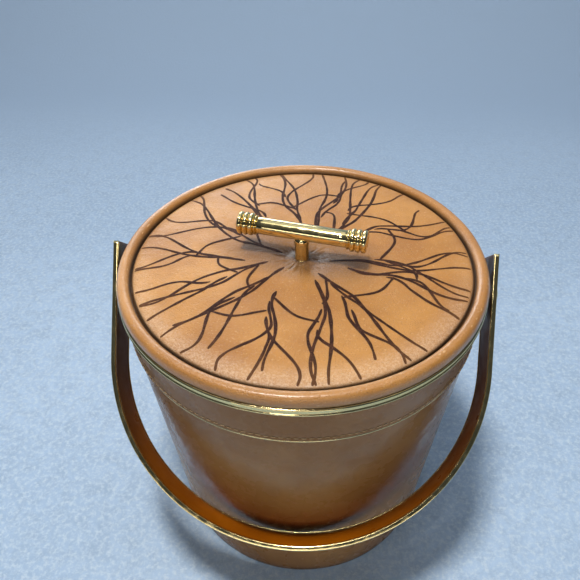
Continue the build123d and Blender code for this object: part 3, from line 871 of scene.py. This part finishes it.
def crease_panel(vertex):
    """Short pleats where the skin is pulled down to the post, and a gathered outer edge."""
    x, y = vertex.co.x / MM, vertex.co.y / MM
    radius, turn = hypot(x, y), atan2(y, x)
    ring = Vector((cos(turn), sin(turn), 0))
    pleat = noise.noise(ring * 3.4 + Vector((0, 0, radius * 0.05)))
    fine = noise.noise(ring * 9.0 + Vector((4, 0, radius * 0.09)))
    rise = bell(radius, 11.5, 5.5) * (0.8 * abs(pleat) ** 0.8 - 0.24 + 0.3 * fine)
    rise += bell(radius, 100.5, 2.6) * 0.16 * noise.noise(ring * PANEL_HIGH.x * 0.30)
    vertex.co.z += rise * MM


# Branching lines drawn on the panel

def smooth_path(nodes, step=1.2):
    """Points along a smooth curve through the nodes."""
    full = [nodes[0] * 2 - nodes[1]] + nodes + [nodes[-1] * 2 - nodes[-2]]
    path = []
    for i in range(1, len(full) - 2):
        a, b, c, d = full[i - 1], full[i], full[i + 1], full[i + 2]
        cuts = max(2, ceil((c - b).length / step))
        for k in range(cuts):
            t = k / cuts
            path.append(0.5 * (2 * b + (c - a) * t + (2 * a - 5 * b + 4 * c - d) * t ** 2
                               + (3 * b - a - 3 * c + d) * t ** 3))
    path.append(nodes[-1])
    return path


def polar(radius, angle):
    return Vector((radius * cos(angle), radius * sin(angle)))


Trunk = namedtuple("Trunk", "middle start drift sway phase")
Stroke = namedtuple("Stroke", "path start_width end_width")


def make_trunk(rng, k):
    middle = 2 * pi * (k + rng.uniform(-0.18, 0.18)) / TRUNKS
    start = (ROOT_RADIUS, 33, 24)[k % 3] + rng.uniform(-4, 4)
    drift = rng.uniform(0.10, 0.30) * rng.choice((-1, 1))
    sway = rng.uniform(0.05, 0.13)
    return Trunk(middle, start, drift, sway, rng.uniform(0, 2 * pi))


def trunk_turn(trunk, radius):
    """Angle of a trunk's winding middle line at a radius."""
    share = (radius - trunk.start) / (LINE_REACH - trunk.start)
    return trunk.middle + trunk.drift * (share - 0.65) + trunk.sway * sin(trunk.phase + 6.0 * share)


def twig(rng, trunk, fork, j):
    """A line that leaves its trunk at the fork and bends towards its own place on the rim."""
    low = trunk.start
    low += (LINE_REACH - trunk.start) * max(0.0, fork + rng.uniform(-0.06, 0.06) * (fork > 0))
    place = (j - 1.5) * 2 * pi / (TRUNKS * TWIGS) * 1.04
    end = trunk.middle + place + rng.uniform(-0.03, 0.03)
    far = LINE_REACH if rng.random() < 0.85 else LINE_REACH - rng.uniform(4, 12)
    bow = rng.uniform(0.06, 0.14) * rng.choice((-1, 1))
    phase = rng.uniform(-0.6, 0.6)
    bow *= ((far - low) / (LINE_REACH - ROOT_RADIUS)) ** 1.3
    path = []
    parts = 9
    for step in range(parts + 1):
        share = step / parts
        radius = low + (far - low) * share
        blend = share * share * (3 - 2 * share)
        turn = trunk_turn(trunk, radius) * (1 - blend) + end * blend
        turn += bow * sin(phase + 5.2 * share) * min(1.0, 3 * share)
        path.append(polar(radius, turn))
    return Stroke(smooth_path(path), rng.uniform(2.0, 2.5) if fork == 0 else 1.95, 1.7)


def link_trunks(rng, k, one, other):
    """A short bowed line from one trunk to the next, rising and falling by turns."""
    low = max(one.start, other.start) + rng.uniform(2, 26)
    high = low + rng.uniform(10, 22)
    if k % 2:
        low, high = high, low
    first = polar(low, trunk_turn(one, low))
    second = polar(high, trunk_turn(other, high))
    belly = (first + second) * 0.5
    belly = belly * (1 + rng.uniform(4, 9) / belly.length)
    return Stroke(smooth_path([first, belly, second]), 1.8, 1.5)


def branch_strokes(rng):
    """Generic vein-like strokes that start round the post, fork and run out to the rim."""
    trunks = [make_trunk(rng, k) for k in range(TRUNKS)]
    forks = (0.0, 0.12, 0.30, 0.48)
    strokes = []
    for trunk in trunks:
        chosen = rng.choice((1, 2))
        order = [chosen] + rng.sample([j for j in range(TWIGS) if j != chosen], TWIGS - 1)
        strokes += [twig(rng, trunk, fork, j) for fork, j in zip(forks, order)]
    for k in range(TRUNKS):
        strokes.append(link_trunks(rng, k, trunks[k], trunks[(k + 1) % TRUNKS]))
    return strokes


def stroke_rows(stroke, layer, phase, surface):
    """Rows of points across the stroke, laid on the surface as far as the surface goes."""
    cross_section = ((-0.5, 0.03), (-0.28, 0.07), (0, 0.09), (0.28, 0.07), (0.5, 0.03))
    rows = []
    total = len(stroke.path) - 1
    for i, here in enumerate(stroke.path):
        ahead = stroke.path[min(i + 1, total)] - stroke.path[max(i - 1, 0)]
        across = Vector((-ahead.y, ahead.x)).normalized()
        width = stroke.start_width + (stroke.end_width - stroke.start_width) * i / total
        width *= 0.9 + 0.35 * noise.noise(Vector((phase, i * 0.16, 0)))
        width *= min(1.0, 0.35 + 0.25 * min(i, 1.4 * (total - i) + 1))
        row = []
        for side, lift in cross_section:
            spot = here + across * side * width
            found = surface(spot.x, spot.y)
            if found is None:
                return rows
            row.append(found[0] + found[1] * (lift + layer))
        rows.append(row)
    return rows


def draw_lines(panel):
    """Lays each stroke on the panel as a thin ribbon that follows its surface."""
    rng = random.Random(LINE_SEED)
    strokes = branch_strokes(rng)
    tree = BVHTree.FromObject(panel, bpy.context.evaluated_depsgraph_get())
    above, layer_step = 260.0, 0.002

    def surface(x, y):
        hit = tree.ray_cast(Vector((x, y, above)) * MM, Vector((0, 0, -1)))
        if hit[0] is None:
            return None
        return hit[0] / MM, hit[1]

    points, faces = [], []
    for number, stroke in enumerate(strokes):
        rows = stroke_rows(stroke, layer_step * number, rng.uniform(0, 50), surface)
        if len(rows) < 3:
            continue
        faces += grid_faces(len(rows), len(rows[0]), start=len(points))
        points += [p for row in rows for p in row]
    lines = piece("panel_lines", points, faces, INK, "lid", "leatherette_tan")
    for face in lines.data.polygons:
        if face.normal.z < 0:
            face.flip()


# Knob

def knob_bar(lay):
    chamfer, parts = 0.15, 12
    straight = 2 * (BAR_HALF - chamfer)
    outline = [(0, -BAR_HALF), (BAR_RADIUS - chamfer, -BAR_HALF)]
    outline += [(BAR_RADIUS, -BAR_HALF + chamfer + straight * k / parts) for k in range(parts)]
    outline += [(BAR_RADIUS, BAR_HALF - chamfer), (BAR_RADIUS - chamfer, BAR_HALF), (0, BAR_HALF)]
    points, faces = solid_turned(outline)
    brass("knob_bar_brass", moved(points, lay), faces, "lid", "knob_bar")


def knob_end(side, lay):
    """Cap with a flat collar next to the bar, three round ribs and a dished end."""
    collar = ((0, 0.02), (5.6, 0.02), (6.0, 0.2), (6.1, 0.55), (6.05, 1.0), (5.6, 1.35), (5.35, 1.6))
    outline = [(radius, BAR_HALF + up) for radius, up in collar]
    pitch, first_rib, valley = 3.45, 1.75, 5.5
    for rib in range(3):
        middle = BAR_HALF + first_rib + pitch * (rib + 0.5)
        swell = 1.55 if rib < 2 else 1.5
        for k in range(13):
            a = radians(200 - 220 * k / 12)
            outline.append((valley + swell * max(sin(a), -0.12), middle - 1.6 * cos(a)))
    end = BAR_HALF + 12.0
    outline += [(5.25, end - 0.15), (4.6, end), (3.9, end + 0.02), (3.5, end - 0.18), (0, end - 0.12)]
    flip = Matrix.Identity(4) if side > 0 else Matrix.Rotation(pi, 4, "X")
    points, faces = solid_turned(outline)
    name = hand_name(side)
    brass("knob_end_" + name, moved(points, lay @ flip), faces, "lid", "knob_cap_" + name)


def knob_post():
    """Waisted post with a foot ring pressed into the panel."""
    profile = (
        (0, -0.3), (4.9, -0.3), (4.95, 0.3), (4.75, 0.7), (4.45, 0.9), (4.4, 1.4), (4.4, 3.0),
        (4.35, 7.0), (4.4, 11.0), (4.6, 12.4), (4.9, 13.4), (4.9, 16.5), (0, 17.6),
    )
    points, faces = solid_turned([(radius, POST_LOW.z + up) for radius, up in profile])
    brass("knob_post_brass", points, faces, "lid", "knob_post")


def knob():
    lay = (Matrix.Translation((0, 0, BAR_HEIGHT)) @ Matrix.Rotation(KNOB_TURN, 4, "Z")
           @ Matrix.Rotation(pi / 2, 4, "Y"))
    knob_bar(lay)
    knob_end(1, lay)
    knob_end(-1, lay)
    knob_post()


# Handle

def strap_path():
    """(x, z, outward x, outward z) along the strap, from the right end to the left end."""
    rise = BEND_DROP + BEND_RADIUS * sin(LEG_LEAN) + STRAP_TAIL
    length = rise / cos(LEG_LEAN)
    out = Vector((cos(LEG_LEAN), -sin(LEG_LEAN)))
    up = Vector((sin(LEG_LEAN), cos(LEG_LEAN)))
    foot = out * BEND_RADIUS
    leg_steps, bend_steps = 36, 180
    right = []
    for k in range(leg_steps):
        spot = foot + up * length * (1 - k / leg_steps)
        right.append((spot.x, spot.y, out.x, out.y))
    bend = []
    for k in range(bend_steps + 1):
        a = -LEG_LEAN - (pi - 2 * LEG_LEAN) * k / bend_steps
        bend.append((BEND_RADIUS * cos(a), BEND_RADIUS * sin(a), cos(a), sin(a)))
    left = [(-x, z, -nx, nz) for x, z, nx, nz in reversed(right)]
    return right + bend + left


def on_strap(section, shift=None):
    """Runs a closed (outward, across) section along the strap, in its rest place."""
    points = []
    path = strap_path()
    cosine, sine = cos(REST_ANGLE), sin(REST_ANGLE)
    for step, (x, z, nx, nz) in enumerate(path):
        for out, across in section:
            extra = shift(step / (len(path) - 1), out, across) if shift else 0.0
            px = x + nx * (out + extra)
            pz = z + nz * (out + extra) - BEND_DROP
            points.append((px, across * cosine + pz * sine,
                           -across * sine + pz * cosine + PIVOT_HEIGHT))
    faces = grid_faces(len(path), len(section), False, True)
    return points, faces + end_faces(len(path), len(section))


def handle_leather(name, sign, look):
    """Padded strip on one side of the strap, between the brass edges."""
    edge = STRAP_HALF - 0.85
    back, face = 0.42, 1.02
    section = rounded([
        (sign * back, -edge), (sign * face, -edge), (sign * face, edge), (sign * back, edge),
    ], 0.15, steps=3, spacing=1.6)

    def shift(share, out, across):
        if sign * out < (back + face) / 2:
            return 0.0
        crown = 0.28 * (1 - (across / edge) ** 2) ** 0.5 if abs(across) < edge else 0.0
        ripple = 0.05 * noise.noise(Vector((share * 60, across * 0.12, sign * 3)))
        return sign * (crown + ripple)

    points, faces = on_strap(section, shift)
    piece(name + "_leather", points, faces, look, "handle", "leatherette_dark", name)


def handle_edge(name, sign):
    """U-shaped brass edging that grips one edge of the strap."""
    half, inside = 1.55, 1.05
    outer = sign * STRAP_HALF
    lip = sign * (STRAP_HALF - 1.6)
    web = sign * (STRAP_HALF - 0.82)
    section = rounded([
        (-half, lip, 0.3), (-half, outer, 1.45), (half, outer, 1.45), (half, lip, 0.3),
        (inside, lip, 0.1), (inside, web, 0.1), (-inside, web, 0.1), (-inside, lip, 0.1),
    ], 0.2, steps=7)
    points, faces = on_strap(section)
    brass("handle_edge_" + name, points, faces, "handle", "handle_trim_" + name)


def handle():
    handle_leather("handle_lining", -1, LINING)
    handle_leather("handle_cover", 1, SHADED_TAN)
    handle_edge("front", -1)
    handle_edge("rear", 1)


# Studio. Places and sizes of lamps are in metres, powers in watts.

LAMPS = (
    ("key", (-0.14, -0.20, 1.55), (0.22, 0.18), 16, (1.0, 0.97, 0.93), (0, 0, 0.1)),
    ("front", (-0.12, -0.85, 1.20), (0.22, 0.16), 1.4, (1.0, 0.99, 0.96)),
    ("low", (-0.10, -1.30, 0.42), (1.3, 0.16), 2.4, (1.0, 0.98, 0.95)),
    ("window", (-1.25, 1.05, 0.62), (0.8, 0.6), 5, (0.90, 0.96, 1.0)),
    ("back", (-0.34, 1.10, 0.55), (0.6, 0.8), 8, (0.92, 0.97, 1.0)),
    ("ceiling", (0.1, 0.9, 1.9), (1.4, 0.9), 2.8, (0.95, 0.98, 1.0), (0, 0.1, 0.1)),
    ("panel", (0.0, 0.0, 1.30), (1.3, 0.40), 1.5, (0.97, 1.0, 0.98)),
)
SPARING_LAMPS = ("window", "back")


def floor_cloth():
    """Pale blue short-pile cloth, with painted shade that makes it plainer and darker towards the backdrop."""
    s = Shader("floor_cloth")
    nap = s.noise(260, 5, 0.75)
    tuft = s.noise(70, 4, 0.7, 0.6)
    tone = s.mix(s.ramp(s.noise(4, 3), 0.3, 0.7), colour(0.43, 0.59, 0.80), colour(0.50, 0.67, 0.89))
    tone = s.mix(s.ramp(tuft, 0.35, 0.7, 0.0, 0.5), tone, colour(0.33, 0.46, 0.63))
    tone = s.mix(s.ramp(nap, 0.43, 0.66, 0.0, 0.75), tone, colour(0.68, 0.80, 0.93))
    # Painted shade: plainer, darker cloth further back.
    tone = s.mix(s.ramp(s.axis("Y"), 0.35, 0.75), tone, colour(0.45, 0.59, 0.77))
    s.set(Base_Color=tone, Roughness=0.95, Normal=s.bump(nap, 1.2, 0.5))
    return s.material


def make_floor():
    """Pale floor that sweeps up into a backdrop."""
    radius, turn, top = 500.0, 700.0, 3200.0
    profile = [(-2600.0, 0.0), (300.0, 0.0)]
    profile += [(turn + radius * sin(a), radius * (1 - cos(a)))
                for a in [radians(6 * k) for k in range(16)]]
    profile.append((turn + radius, top))
    columns = (-3500.0, -1200.0, 0.0, 1200.0, 3500.0)
    points = [Vector((x, y, z)) * MM for y, z in profile for x in columns]
    mesh = bpy.data.meshes.new("floor")
    mesh.from_pydata(points, [], grid_faces(len(profile), len(columns)))
    mesh.shade_smooth()
    mesh.materials.append(floor_cloth())
    floor = bpy.data.objects.new("floor", mesh)
    scene.collection.objects.link(floor)
    return floor


def lamp(name, place, size, power, tint, aim=(0, 0, 0.2)):
    light = bpy.data.lights.new(name, "AREA")
    light.shape = "RECTANGLE"
    light.size, light.size_y = size
    light.energy = power
    light.color = tint
    made = bpy.data.objects.new(name, light)
    made.location = place
    made.rotation_euler = (Vector(aim) - Vector(place)).to_track_quat("-Z", "Y").to_euler()
    scene.collection.objects.link(made)
    return made


def surroundings():
    """Soft room light: pale above and behind, dark low in front; the camera sees it paler."""
    world = bpy.data.worlds.new("studio")
    world.use_nodes = True
    n = Nodes(world.node_tree, "Generated")
    height = n.ramp(n.axis("Z"), -0.1, 0.9, 0.03, 0.19, "LINEAR")
    depth = n.ramp(n.axis("Y"), -0.9, 0.6, 0.35, 1.0, "LINEAR")
    seen = n.add("ShaderNodeLightPath").outputs["Is Camera Ray"]
    strength = n.math("ADD", n.math("MULTIPLY", seen, 0.35), n.math("MULTIPLY", height, depth))
    background = world.node_tree.nodes["Background"]
    n.put(background.inputs["Strength"], strength)
    n.put(background.inputs["Color"], colour(0.72, 0.82, 0.95))
    return world


def studio():
    """Floor, soft lamps and room light; the window and back lamps don't light the floor."""
    floor = make_floor()
    lamps = {settings[0]: lamp(*settings) for settings in LAMPS}
    spared = bpy.data.collections.new("spared")
    spared.objects.link(floor)
    spared.collection_objects[0].light_linking.link_state = "EXCLUDE"
    for name in SPARING_LAMPS:
        lamps[name].light_linking.receiver_collection = spared
    scene.world = surroundings()
    scene.view_settings.view_transform = "Standard"


def camera():
    """Looks down on the lid from the front, a little to the right."""
    lens = bpy.data.cameras.new("camera")
    lens.sensor_width = SENSOR_WIDTH
    lens.lens = FOCAL_LENGTH
    lens.clip_start, lens.clip_end = 0.01, 50.0
    made = bpy.data.objects.new("camera", lens)
    forward = Vector((sin(CAMERA_YAW) * cos(CAMERA_PITCH), cos(CAMERA_YAW) * cos(CAMERA_PITCH),
                      -sin(CAMERA_PITCH)))
    right = Vector((cos(CAMERA_YAW), -sin(CAMERA_YAW), 0))
    up = right.cross(forward)
    side = right * cos(CAMERA_ROLL) + up * sin(CAMERA_ROLL)
    top = -right * sin(CAMERA_ROLL) + up * cos(CAMERA_ROLL)
    turn = Matrix((side, top, -forward)).transposed().to_4x4()
    made.matrix_world = Matrix.Translation(CAMERA_PLACE) @ turn
    scene.collection.objects.link(made)
    scene.camera = made


cover_drum()
cover_band()
sew_band()
rim_ring()
collar_bead()
for hand in (1, -1):
    cover_saddle(hand)
    stud_head(hand)
roll_rim()
draw_lines(stuff_panel())
knob()
handle()
studio()
camera()
